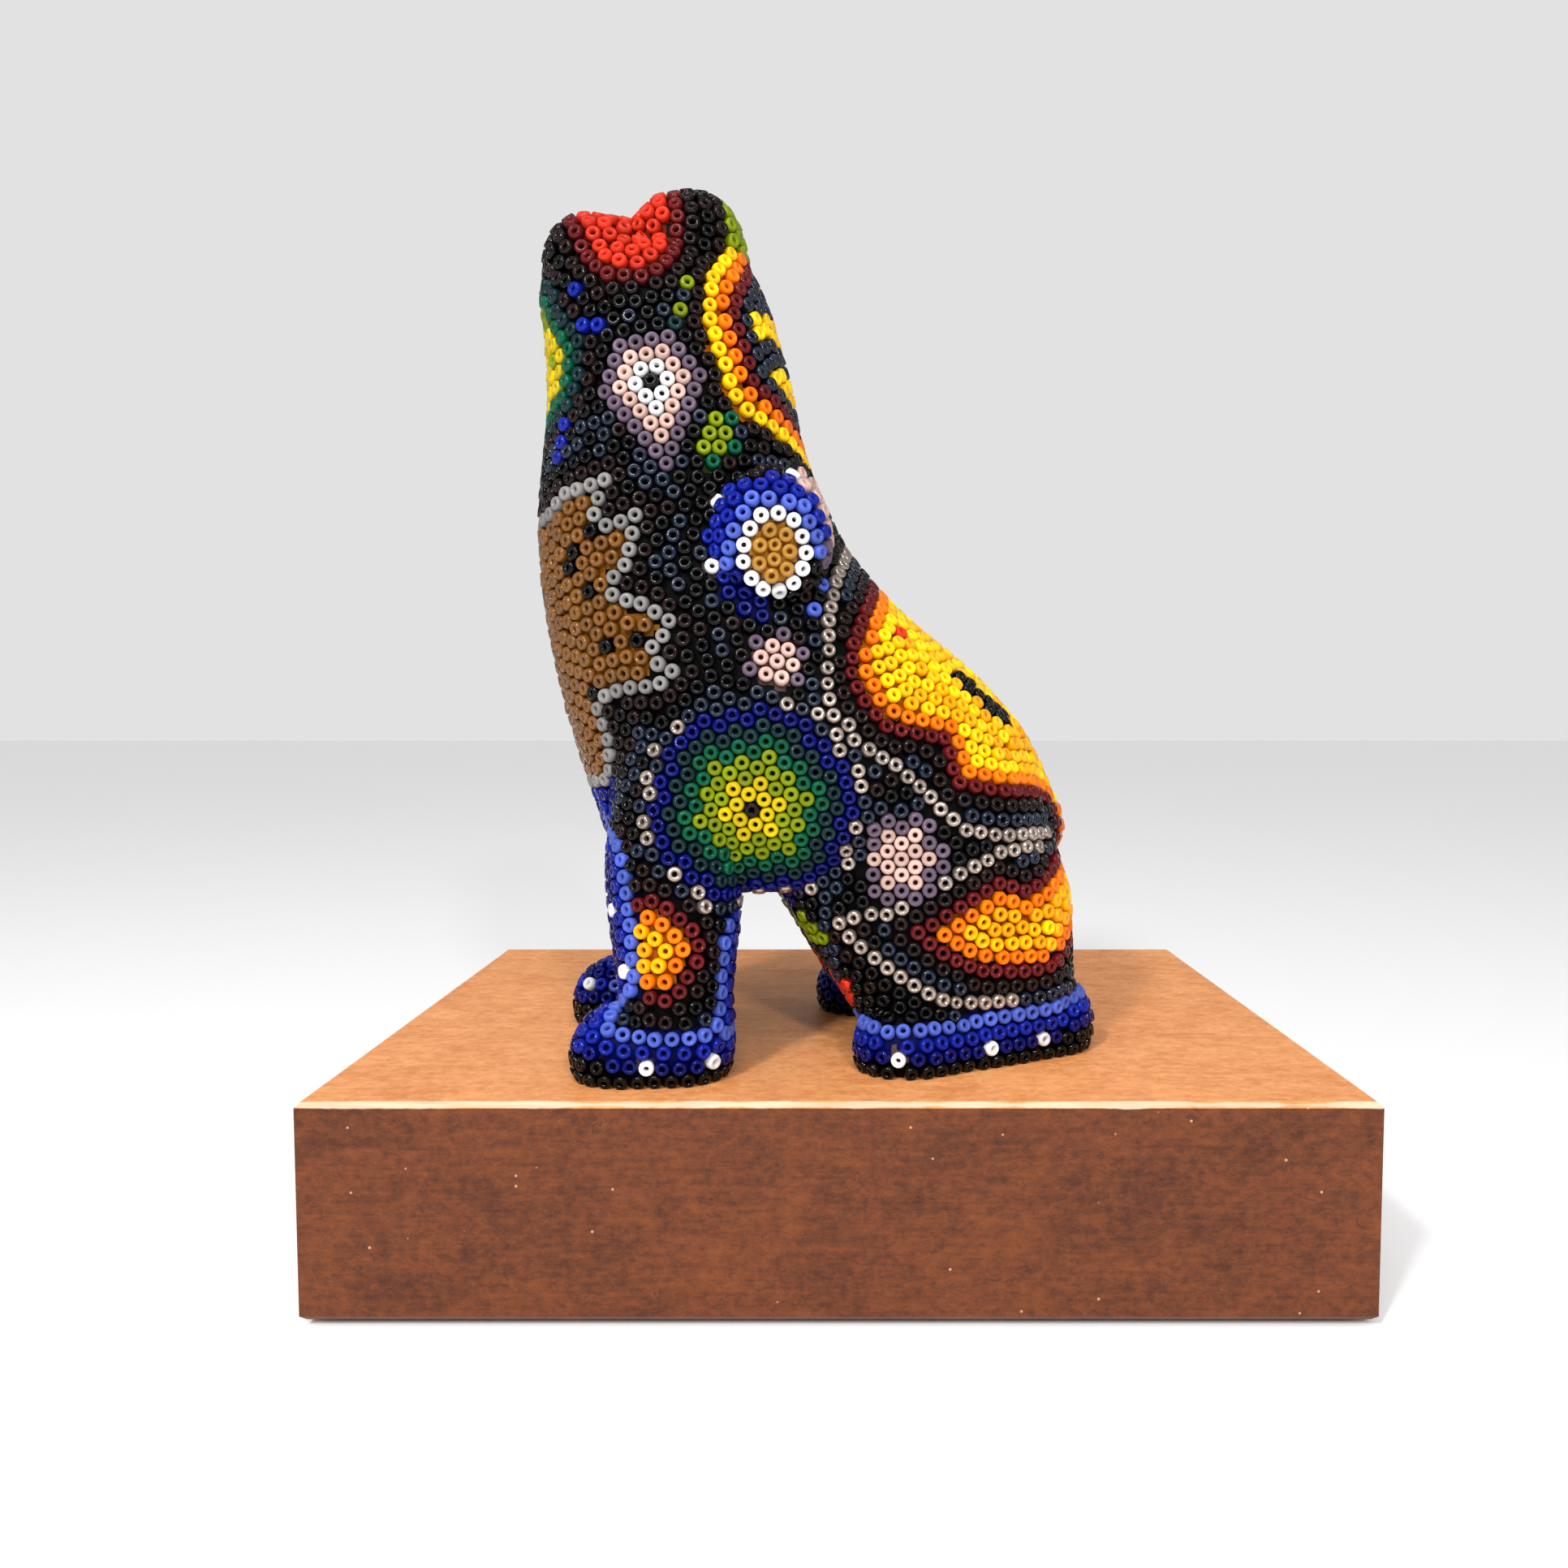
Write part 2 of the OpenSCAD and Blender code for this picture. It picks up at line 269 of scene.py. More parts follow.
def carving():
    """The carved core's surface as an even, smooth grid of quads, in the figure's frame."""
    copy = bpy.data.objects.new("carving", nodes["body_core"].data.copy())
    bpy.context.scene.collection.objects.link(copy)
    remesh = copy.modifiers.new("grid", "REMESH")
    remesh.mode = "VOXEL"
    remesh.voxel_size = 0.75 * MM
    grid = copy.evaluated_get(bpy.context.evaluated_depsgraph_get()).to_mesh()
    co = np.empty(len(grid.vertices) * 3)
    grid.vertices.foreach_get("co", co)
    edges = np.empty(len(grid.edges) * 2, int)
    grid.edges.foreach_get("vertices", edges)
    quads = np.empty(len(grid.polygons) * 4, int)
    grid.polygons.foreach_get("vertices", quads)
    bpy.data.objects.remove(copy)
    points = smoothed(to_figure(co.reshape(-1, 3)), edges.reshape(-1, 2), 45)
    quads = quads.reshape(-1, 4)
    return points, quads, normals_of(points, quads)


core_points, core_quads, core_normals = carving()
bead_level = core_points + core_normals * (WAX + SEAT)
surface = BVHTree.FromPolygons(bead_level.tolist(), core_quads.tolist())
vertex_normals = [Vector(n) for n in normals_of(bead_level, core_quads)]
face_normals = [sum((vertex_normals[v] for v in q), Vector()).normalized() for q in core_quads.tolist()]


def onto_surface(point):
    hit, _, face, _ = surface.find_nearest(point)
    return hit, face_normals[face]


def from_side(x, z, side):
    """The point of the surface seen from the animal's left (-1) or right (1) at x, z."""
    hit, _, face, _ = surface.ray_cast(Vector((x, side * 60, z)), Vector((0, -side, 0)))
    return (hit, face_normals[face]) if hit is not None else None


# ---------------------------------------------------------------- motif outlines, mm: x, z
MOUTH = [
    (-38, 116), (-36.5, 112), (-35, 109.5), (-33, 107.7), (-29.5, 107), (-27, 108), (-25, 110), (-23.8, 113),
    (-23.5, 116), (-24, 121),
]
THROAT = [
    (-43.5, 110.5), (-40.5, 107), (-39.8, 103.5), (-37, 99.5), (-37, 95), (-38, 91.5), (-40, 89), (-44, 86),
]
CREST = [
    (-17.5, 122), (-16.5, 117.5), (-16, 113.5), (-19, 108.5), (-19.8, 103.5), (-19, 99.5), (-17.5, 95.5),
    (-16.8, 92.3), (-14, 89.6), (-10, 88), (-5, 84.5),
]
CHEST = [
    (-44, 75.5), (-41, 76.5), (-39.3, 78.7), (-34, 79.9), (-35.1, 75.6), (-33.5, 74), (-29.8, 74.9),
    (-30.5, 71), (-31.1, 68.9), (-33.2, 66.4), (-32.8, 64.4), (-29.3, 63.9), (-24.1, 60.4), (-27.7, 58.7),
    (-27.8, 56.4), (-24.4, 54), (-26.4, 53), (-33.6, 52.1), (-35.1, 49.5), (-33.6, 46.2), (-33.4, 40.3),
    (-38, 39),
]
FLAME = [
    (5, 69), (2, 64), (-1, 58), (-1.6, 54), (0, 51), (3, 47.5), (6, 46.7), (12, 45.7), (13, 39.8),
    (18.5, 38.6), (24, 38.2), (28.5, 37.2), (31, 34), (31, 30.5), (28.7, 27.3), (23.6, 24.5), (18.7, 26),
    (12.3, 22.3), (7.2, 19.3), (12.2, 15.6), (17, 13.8), (24, 13.2), (28.5, 13.6), (31.6, 16.4), (37, 20),
]
PEARL_UPPER = [
    (0.5, 73), (-2.5, 67.5), (-4.2, 62), (-4.7, 54), (-4.6, 49.5), (-1.5, 45.6), (4.5, 42), (10, 37),
    (13.5, 33.5), (18.5, 32.6), (24, 32.4), (28, 32.2),
]
PEARL_THIGH = [
    (25, 31), (19, 30), (14.5, 28), (10.2, 26.6), (6.6, 24.4), (2.4, 22.5), (-1.5, 21.1), (-3.3, 20.2),
    (-2, 19.2), (0.9, 16.7), (4, 14.2), (7.3, 12.1), (10.8, 10.3), (13, 9.5), (22, 9.3),
]
FRONT_FOOT_LINE = [(-34.6, 7.7), (-31.7, 6.8), (-28, 6.4), (-24, 6.6), (-20.2, 6.9)]
# Down the front of the leg, over the foot and up the back of the leg
LEG_LINE = [
    (-36, 40), (-34, 34.5), (-32, 30.5), (-31.5, 27), (-30.9, 20), (-30.4, 14), (-31.5, 11),
    *FRONT_FOOT_LINE,
    (-19.4, 9), (-19, 14), (-18.6, 18), (-17.3, 23.1),
]
LEG_FLAME = [
    (-29.8, 23.9), (-28.4, 24.8), (-26.6, 23.7), (-24.6, 23), (-24.3, 21.2), (-22.2, 20.2), (-22.1, 16.8),
    (-23.6, 15.2), (-23.4, 13.4), (-25.3, 12.4), (-27, 11.1), (-29, 12.2),
]
HIND_FOOT_LINE = [(-1.5, 6.5), (2, 6.4), (12, 6.4), (16, 6.5), (21, 7), (27, 7.5), (33, 8), (38, 8.5)]
EAR_AT, EAR_CUP = (-11.8, 70.2), (4.1, 5)
EAR_RING = [
    (EAR_AT[0] + EAR_CUP[0] * math.cos(a), EAR_AT[1] + EAR_CUP[1] * math.sin(a))
    for a in (math.radians(10 * k) for k in range(37))
]
# Lowest rows: middle of each foot (x, distance from the middle plane), radius that clears it
FEET = ((-28.5, 15.5), 13), ((7, 17.3), 9), ((28, 9.3), 12)
# Round motifs: middle x, z, and the turn of their first six beads in degrees
EYE = (-27.5, 93), 10
CHEEK = (-19.9, 86.3), 6
SHOULDER_FLOWER = (-11.4, 56), -14
STAR = (-14.9, 36.4), -18
HIP_FLOWER = (5.3, 29.5), 30
# Single beads of another colour: x, z
STRAYS = {
    "white": [
        (-19, 78), (-9.5, 81), (-20.5, 68), (-33, 23.5), (-31.5, 15), (-20, 3.8), (-30, 3.3), (-38.5, 5.7),
        (5.5, 2.8), (17.5, 3.5), (27, 3.7), (-0.7, 4),
    ],
    "light_blue": [(-4, 69), (-4.5, 66), (-6.5, 62.5)],
    "black": [
        (-35, 73.5), (-37.5, 71.5), (-39, 69), (-35.5, 64.5), (-33, 58), (-29.5, 58), (-36, 53), (-35, 51.5),
    ],
    "blue": [(-37.5, 106), (-36, 102), (-35, 100), (-38.5, 87.5), (-39, 86.5), (-40, 85)],
    "lime": [(-21.5, 107), (-22.5, 102.5), (35, 21), (35.5, 19)],
    "teal": [(-24.5, 102)],
    "vermilion": [(7.5, 59.5)],
}
# Small patches: lowest and highest x, distance from the middle plane, and z; colour
PATCHES = [
    ((-8.5, -3), (0, 40), (72, 83), "pink"),
    ((-8, -3), (0, 40), (68.5, 72), "lilac"),
    ((-9, -3.5), (8, 16), (16.5, 21), "lime"),
    ((-4, 0.3), (6, 16), (8, 12.5), "vermilion"),
]
BACK_MARK = [(16.5, 53), (23, 48)]

SIDES = (-1, 1)


def closed_field(outline, back):
    """The outline closed far in front of (-1) or behind (1) the figure, as a polygon."""
    return outline + [(back * 90, outline[-1][1]), (back * 90, outline[0][1])]


def inside(polygon, x, z):
    odd = False
    for (ax, az), (bx, bz) in zip(polygon, polygon[1:] + polygon[:1], strict=True):
        if (az > z) != (bz > z) and x < (bx - ax) * (z - az) / (bz - az) + ax:
            odd = not odd
    return odd


# ---------------------------------------------------------------- laying the beads
CROWDED = 0.93 * PITCH  # a place with a bead nearer than this is taken
NEIGHBOUR = 1.3 * PITCH
SEEDS_APART = 0.86 * PITCH
UNDERFOOT = 0.8 * LOWEST  # beads stay above this


class Layout:
    """Beads on the surface: where each is, and which seed it grew from."""

    def __init__(self):
        self.at, self.normal, self.origin, self.start, self.fixed, self.tag = [], [], [], [], [], []
        self.cells = {}
        self.queue = []

    def cell(self, p):
        return tuple(math.floor(c / PITCH) for c in p)

    def near(self, p, radius):
        cx, cy, cz = self.cell(p)
        return [
            i
            for x in (cx - 1, cx, cx + 1)
            for y in (cy - 1, cy, cy + 1)
            for z in (cz - 1, cz, cz + 1)
            for i in self.cells.get((x, y, z), ())
            if (self.at[i] - p).length < radius
        ]

    def add(self, point, normal, origin=None, start=0.0, fixed=False, tag=None):
        index = len(self.at)
        self.at.append(point.copy())
        self.normal.append(normal.copy())
        self.origin.append(point.copy() if origin is None else origin)
        self.start.append(start)
        self.fixed.append(fixed)
        self.tag.append(tag)
        self.cells.setdefault(self.cell(point), []).append(index)
        return index

    def seed(self, point, normal, start=0.0, tag=None):
        if not self.near(point, SEEDS_APART):
            self.add(point, normal, None, start, True, tag)

    def offer(self, i):
        """Queues the places that touch bead i and one of its neighbours."""
        p, n = self.at[i], self.normal[i]
        for j in self.near(p, NEIGHBOUR):
            if j == i:
                continue
            q = self.at[j]
            gap = (q - p).length
            if gap < 0.8 * PITCH:
                continue
            height = math.sqrt(max(PITCH * PITCH - gap * gap / 4, 0.3))
            across = n.cross(q - p).normalized()
            for sign in (-1, 1):
                spot, _ = onto_surface((p + q) / 2 + across * (sign * height))
                if spot.z < UNDERFOOT or self.near(spot, CROWDED):
                    continue
                keys = [((spot - self.origin[k]).length - self.start[k], k) for k in (i, j)]
                key, k = min(keys)
                heapq.heappush(self.queue, (round(key, 3), len(self.queue), tuple(spot), k))

    def grow(self):
        for i in range(len(self.at)):
            self.offer(i)
        while self.queue:
            _, _, spot, k = heapq.heappop(self.queue)
            spot = Vector(spot)
            if self.near(spot, CROWDED):
                continue
            hit, normal = onto_surface(spot)
            self.offer(self.add(hit, normal, self.origin[k], self.start[k]))

    def tree(self):
        tree = KDTree(len(self.at))
        for i, p in enumerate(self.at):
            tree.insert(p, i)
        tree.balance()
        return tree

    def fill(self, widest):
        """Puts a bead in each gap that is still wide enough for one."""
        tree = self.tree()
        middles = [
            (tree.find(p)[2], tuple(p))
            for p in (Vector(v) for v in bead_level[:: 2].tolist())
            if p.z > LOWEST
        ]
        for _, spot in sorted((m for m in middles if m[0] > widest * PITCH), reverse=True):
            spot = Vector(spot)
            if not self.near(spot, widest * PITCH):
                hit, normal = onto_surface(spot)
                self.add(hit, normal)

    def relax(self, steps, reach, rate):
        """Pushes beads nearer than reach apart, along the surface; seeds hardly move."""
        for _ in range(steps):
            tree = self.tree()
            moved = []
            for i, p in enumerate(self.at):
                push = Vector()
                for q, j, gap in tree.find_range(p, reach):
                    if j != i and gap > 1e-6:
                        push += (p - q) * ((reach - gap) / gap * rate)
                moved.append(p + push * (0.06 if self.fixed[i] else 1))
            for i, p in enumerate(moved):
                p.z = max(p.z, LOWEST)
                hit, normal = onto_surface(p)
                if hit.z > UNDERFOOT:
                    self.at[i], self.normal[i] = hit, normal
        self.index()

    def index(self):
        self.cells = {}
        for i, p in enumerate(self.at):
            self.cells.setdefault(self.cell(p), []).append(i)

    def prune(self, closest):
        tree = self.tree()
        dropped = set()
        for i in sorted(range(len(self.at)), key=lambda i: self.fixed[i]):
            if any(j != i and j not in dropped for _, j, _ in tree.find_range(self.at[i], closest * PITCH)):
                dropped.add(i)
        keep = [i for i in range(len(self.at)) if i not in dropped]
        for name in ("at", "normal", "origin", "start", "fixed", "tag"):
            setattr(self, name, [getattr(self, name)[i] for i in keep])
        self.index()


def trace(outline, side, step=0.15):
    """Points a small step apart on the surface along an outline seen from one side."""
    points = []
    for (ax, az), (bx, bz) in zip(outline, outline[1:], strict=False):
        count = max(int(math.hypot(bx - ax, bz - az) / step), 1)
        for k in range(count):
            spot = from_side(ax + (bx - ax) * k / count, az + (bz - az) * k / count, side)
            if spot is not None:
                points.append(spot)
    return points


def seed_row(layout, outline, side, start=0.0):
    last = None
    for point, normal in trace(outline, side):
        if last is None or (point - last).length >= PITCH:
            layout.seed(point, normal, start)
            last = point


# On the triangular grid: the six neighbours of a place, and the six places past its sides
NEXT = [(1, 0), (0, 1), (-1, 1), (-1, 0), (0, -1), (1, -1)]
TIPS = [(1, 1), (-1, 2), (-2, 1), (-1, -1), (1, -2), (2, -1)]


def hexes(i, j):
    """Number of steps from the middle to place i, j of a triangular grid."""
    return max(abs(i), abs(j), abs(i + j))


def seed_motif(layout, motif, cells, side, start):
    """Lays a round motif bead by bead on a triangular grid, ring after ring from its middle.

    cells maps a grid place to its CAD node and colour.
    """
    (x, z), turn = motif
    middle, normal = from_side(x, z, side)
    spots = {(0, 0): middle}
    for k, cell in enumerate(NEXT):
        a = math.radians(turn + 60 * k)
        out = Vector((math.cos(a), 0, math.sin(a)))
        out = (out - normal * out.dot(normal)).normalized()
        spots[cell] = onto_surface(middle + out * PITCH)[0]
    reach = max(hexes(*cell) for cell in cells)
    for ring in range(2, reach + 1):
        fresh = {}
        for i, j in (cell for cell in grid(ring) if hexes(*cell) == ring):
            guesses = []
            for k in range(6):
                (ai, aj), (bi, bj) = NEXT[k], NEXT[(k + 1) % 6]
                a, b, across = (i + ai, j + aj), (i + bi, j + bj), (i + ai + bi, j + aj + bj)
                if a in spots and b in spots and across in spots:
                    guesses.append(spots[a] + spots[b] - spots[across])
            if not guesses:
                inner = min(((i + a, j + b) for a, b in NEXT), key=lambda c: (hexes(*c), c))
                beyond = (2 * inner[0] - i, 2 * inner[1] - j)
                guesses = [2 * spots[inner] - spots[beyond]]
            fresh[i, j] = onto_surface(sum(guesses, Vector()) / len(guesses))[0]
        spots.update(fresh)
        for _ in range(12):
            even(spots)
    for cell, tag in cells.items():
        point, normal = onto_surface(spots[cell])
        layout.seed(point, normal, start, tag)


def even(spots):
    """One step towards equal distances between the neighbours on a grid."""
    moved = {}
    for (i, j), p in spots.items():
        push = Vector()
        for a, b in NEXT:
            q = spots.get((i + a, j + b))
            if q is not None:
                gap = (q - p).length
                push += (q - p) * ((gap - PITCH) / gap * 0.25)
        moved[i, j] = onto_surface(p + push)[0]
    moved[0, 0] = spots[0, 0]
    spots.update(moved)


def grid(reach):
    span = range(-reach, reach + 1)
    return [(i, j) for i in span for j in span if hexes(i, j) <= reach]


def eye_cells(side):
    """Rings round the pupil that draw out to a point below."""
    cells = {}
    for i, j in grid(8):
        level = min(hexes(i - k, j + 2 * k) + k for k in range(5))
        if level <= 3:
            tone = ("black", "white", "pink", "lilac")[level]
            cells[i, j] = f"eye_beads_{side}", tone
    return cells


def cheek_cells(side):
    node = f"cheek_beads_{side}"
    cells = {cell: (node, "lime") for cell in ((0, 0), (1, 0), (0, 1), (0, -1), (1, -1))}
    cells.update({cell: (node, "green") for cell in ((1, 1), (2, -1), (1, -2))})
    return cells


def star_of(reach):
    """A hexagon with one more bead on the middle of each side."""
    half = (reach + 1) // 2
    return set(grid(reach)) | {(i * half, j * half) for i, j in TIPS}


def flower_cells(node, rays):
    cells = {cell: (node, "pink") for cell in grid(1)}
    tips = star_of(1) - set(grid(1))
    if rays:
        cells.update({cell: (node, "pink") for cell in tips})
        around = {(i + a, j + b) for i, j in cells for a, b in NEXT} - set(cells)
        cells.update({cell: (node, "lilac") for cell in around})
    else:
        cells.update({cell: (node, "lilac") for cell in tips})
    return cells


def star_cells(side):
    cells, node = {}, f"star_beads_{side}"
    inner, outer = star_of(1), star_of(3)
    for cell in grid(8):
        level = min(hexes(cell[0] - i, cell[1] - j) for i, j in outer)
        if cell == (0, 0):
            tone = "brown"
        elif cell in inner:
            tone = "lemon"
        elif level <= 4:
            tone = ("lime", "green", "teal", "navy", "rim")[level]
        else:
            continue
        if tone == "rim":
            tone = "pearl" if (2 * cell[0] + 3 * cell[1]) % 5 < 2 else "gunmetal"
            cells[cell] = None, tone
        else:
            cells[cell] = node, tone
    return cells


def seed_foot(layout, middle, radius, side):
    """The lowest row round a foot."""
    last = None
    cx, cy = middle
    for k in range(720):
        a = math.radians(k / 2)
        out = Vector((math.cos(a), math.sin(a), 0))
        start = Vector((cx, side * cy, LOWEST)) + out * radius
        hit, _, face, _ = surface.ray_cast(start, -out)
        if hit is not None and (last is None or (hit - last).length >= PITCH):
            layout.seed(hit, face_normals[face], 2 * PITCH)
            last = hit


ROWS_LAID_FIRST = (
    CHEST, MOUTH, CREST, THROAT, FLAME, LEG_LINE, LEG_FLAME, HIND_FOOT_LINE, PEARL_UPPER, PEARL_THIGH,
)


def lay_beads():
    """Seeds, then rows grown from them, then gaps filled and crowding eased."""
    layout = Layout()
    for side in SIDES:
        name = "left" if side < 0 else "right"
        seed_motif(layout, EYE, eye_cells(name), side, 5 * PITCH)
        seed_motif(layout, STAR, star_cells(name), side, 5 * PITCH)
        small = flower_cells(f"shoulder_flower_beads_{name}", rays=False)
        large = flower_cells(f"hip_flower_beads_{name}", rays=True)
        seed_motif(layout, SHOULDER_FLOWER, small, side, 3 * PITCH)
        seed_motif(layout, HIP_FLOWER, large, side, 3 * PITCH)
        seed_motif(layout, CHEEK, cheek_cells(name), side, 2 * PITCH)
        seed_row(layout, EAR_RING, side, 3 * PITCH)
        for outline in ROWS_LAID_FIRST:
            seed_row(layout, outline, side)
        for middle, radius in FEET:
            seed_foot(layout, middle, radius, side)
    layout.grow()
    for widest in (0.8, 0.8, 0.8, 0.82):
        layout.fill(widest)
        layout.relax(10, NEIGHBOUR, 0.1)
    layout.relax(12, PITCH, 0.4)
    layout.prune(0.84)
    layout.relax(6, PITCH, 0.4)
    return layout


layout = lay_beads()


# ---------------------------------------------------------------- colouring the beads
def row_tree(outline):
    spots = [point for side in SIDES for point, _ in trace(outline, side)]
    tree = KDTree(len(spots))
    for i, p in enumerate(spots):
        tree.insert(p, i)
    tree.balance()
    return tree


ROW = 0.87 * PITCH  # between rows of a triangular grid
GROUND_FROM = {"head": 84, "neck": 54, "trunk": 26}  # lowest z of each, above the legs
trees = {
    name: row_tree(outline)
    for name, outline in {
        "mouth": MOUTH,
        "throat": THROAT,
        "crest": CREST,
        "chest": CHEST,
        "flame": FLAME,
        "leg_line": LEG_LINE,
        "leg_flame": LEG_FLAME,
        "pearl_upper": PEARL_UPPER,
        "pearl_thigh": PEARL_THIGH,
        "back_mark": BACK_MARK,
        "ear": EAR_RING,
    }.items()
}
mouth_field = MOUTH + [(-24, 130), (-38, 130)]
throat_field = closed_field(THROAT, -1)
crest_field = closed_field(CREST, 1)
chest_field = closed_field(CHEST, -1)
flame_field = closed_field(FLAME, 1)
leg_field = LEG_LINE + [(-17, 40)]
leg_flame_field = LEG_FLAME + [(-32, 12), (-32, 24)]


def rows_to(name, p):
    return trees[name].find(p)[2] / ROW


def ground_colour(rows):
    """Brown next to a motif, then black with a gunmetal row in every four."""
    k = int(rows + 0.5)
    if k <= 1:
        return "brown"
    roll = random.random()
    if k % 4 == 3:
        return "gunmetal" if roll < 0.75 else "black"
    return "black" if roll < 0.8 else ("gunmetal" if roll < 0.9 else "brown")


def part_of_ground(p):
    """The CAD node of the ground between motifs that holds this place."""
    side = "left" if p.y < 0 else "right"
    for name, lowest in GROUND_FROM.items():
        if p.z > lowest:
            return f"{name}_ground_beads"
    return f"{'front' if p.x < -8 else 'hind'}_leg_ground_beads_{side}"


def height_of(line, x):
    return float(np.interp(x, *zip(*line, strict=True)))


def foot_tone(line, x, z):
    """Rows of a foot, counted down from its light blue line."""
    rows = round((height_of(line, x) - z) / ROW)
    return ("light_blue", "blue", "navy")[rows] if rows < 3 and z > 2 else "black"


def ear_tone(rows, p):
    """White ring, then light blue and blue rows, coloured navy below as painted shade under the ear; None
    past the ear.
    """
    if rows < 0.5:
        return "white"
    if inside(EAR_RING, p.x, p.z):
        return "gold"
    if abs(p.y) < 15.5 or (p.x > EAR_AT[0] and p.z < EAR_AT[1]):
        return None
    # Painted shade: below the ear's middle, the light blue and blue rows are navy.
    if rows < 1.5:
        return "light_blue" if p.z > 67.5 else "navy"
    if rows < 2.5 or (rows < 3.5 and p.z > 68 and p.x < -8):
        return "blue" if p.z > 66.5 else "navy"
    return None


def back_tone(rows, z):
    """Orange row along the maroon, then yellow, with more and more golden beads lower down."""
    if rows < 1.5:
        return "orange"
    golden = 0.15 if z > 52 else 0.4 if z > 31 else 0.7
    return "golden" if random.random() < golden else "yellow"


def crest_tone(rows, z):
    if z > 113.5:
        return "lime"
    if rows < 3.4:
        return ("yellow", "orange", "maroon", "gunmetal")[int(rows + 0.5)]
    return "yellow" if int(z / 4.2) % 2 == 0 else "gunmetal"


def classify(p):
    """The CAD node a bead stands in, and its colour."""
    side = "left" if p.y < 0 else "right"
    x, z = p.x, p.z

    if abs(p.y) > 12 and 55 < z < 90:
        tone = ear_tone(rows_to("ear", p), p)
        if tone:
            return f"ear_{'cup_' if tone in ('white', 'gold') else ''}beads_{side}", tone
    for (x0, x1), (y0, y1), (z0, z1), tone in PATCHES:
        if x0 < x < x1 and y0 < abs(p.y) < y1 and z0 < z < z1:
            return part_of_ground(p), tone

    if z > 100:
        rows = rows_to("mouth", p)
        if rows < 0.5 or inside(mouth_field, x, z):
            return "mouth_beads", "maroon" if rows < 0.5 else "vermilion"
        if rows < 1.6 and x < -18:
            return part_of_ground(p), "brown"
    if z > 82:
        rows = rows_to("crest", p)
        if rows < 0.5 or inside(crest_field, x, z):
            return "crest_beads", crest_tone(rows, z)
        rows = rows_to("throat", p)
        if rows < 0.5 or inside(throat_field, x, z):
            tone = ("teal", "green", "lemon")[min(int(rows + 0.5), 2)]
            return "throat_beads", "lime" if tone == "lemon" and random.random() < 0.35 else tone
    if 36 < z < 84:
        rows = rows_to("chest", p)
        if rows < 0.5:
            return "chest_zigzag_beads", "grey_white"
        if inside(chest_field, x, z):
            return "chest_beads", "amber"
    pearl = min(rows_to("pearl_upper", p), rows_to("pearl_thigh", p)) < 0.5
    if z < 72 and x > -6:
        rows = rows_to("flame", p)
        if rows < 0.5 or inside(flame_field, x, z):
            marked = rows_to("back_mark", p) < 0.9
            tone = "maroon" if rows < 0.5 else "black" if marked else back_tone(rows, z)
            return "back_beads" if z > 31 else "rump_beads", tone
        if rows < 2.6 and not pearl:
            return part_of_ground(p), "brown" if rows < 1.5 else "gunmetal"
    if pearl:
        return part_of_ground(p), "pearl"

    if x < -8 and z < 40:
        return classify_front_leg(p, side)
    if x > -4 and z < height_of(HIND_FOOT_LINE, x) + 0.5 * ROW:
        return f"hind_foot_beads_{side}", foot_tone(HIND_FOOT_LINE, x, z)
    nearest = min(rows_to(name, p) for name in ("mouth", "crest", "throat", "chest", "flame"))
    return part_of_ground(p), ground_colour(nearest)


def classify_front_leg(p, side):
    """Outside: a dark panel with the flame, edged in light blue. Inside and front: blues."""
    x, z = p.x, p.z
    line = rows_to("leg_line", p)
    outer = abs(p.y) > 13 and inside(leg_field, x, z)
    leg = f"front_leg_ground_beads_{side}"
    if line < 0.5:
        return (f"front_foot_beads_{side}" if z < 7.4 else leg), "light_blue"
    if z < 7.4 and not outer:
        return f"front_foot_beads_{side}", foot_tone(FRONT_FOOT_LINE, x, z)
    if outer and z < 27:
        rows = rows_to("leg_flame", p)
        if rows < 0.5:
            return f"leg_flame_beads_{side}", "maroon"
        if inside(leg_flame_field, x, z):
            return f"leg_flame_beads_{side}", "orange" if rows < 1.5 else "golden"
        if rows < 1.5:
            return leg, "brown"
    if not outer and (x < -31 or (z < 34 and (abs(p.y) < 15 or x > -21))):
        return leg, "blue" if line < 1.6 else "navy"
    return part_of_ground(p), ground_colour(min(rows_to("chest", p), rows_to("leg_flame", p)))


# ---------------------------------------------------------------- bead meshes
def bead_profile():
    """Rounded ring, as a fat superellipse turned round the hole: radius, height."""
    middle, half = (BEAD_RADIUS + BEAD_HOLE) / 2, (BEAD_RADIUS - BEAD_HOLE) / 2
    return [
        (
            middle + half * math.copysign(abs(math.cos(a)) ** 0.85, math.cos(a)),
            BEAD_HEIGHT / 2 * math.copysign(abs(math.sin(a)) ** 0.85, math.sin(a)),
        )
        for a in (2 * math.pi * (k + 0.5) / 8 for k in range(8))
    ]


def bead_template(segments=14):
    profile = bead_profile()
    rings = len(profile)
    points = np.array(
        [
            (r * math.cos(a), r * math.sin(a), h)
            for a in (2 * math.pi * s / segments for s in range(segments))
            for r, h in profile
        ]
    )
    quads = np.array(
        [
            (
                s * rings + k,
                (s + 1) % segments * rings + k,
                (s + 1) % segments * rings + (k + 1) % rings,
                s * rings + (k + 1) % rings,
            )
            for s in range(segments)
            for k in range(rings)
        ]
    )
    return points, quads


TEMPLATE, TEMPLATE_QUADS = bead_template()


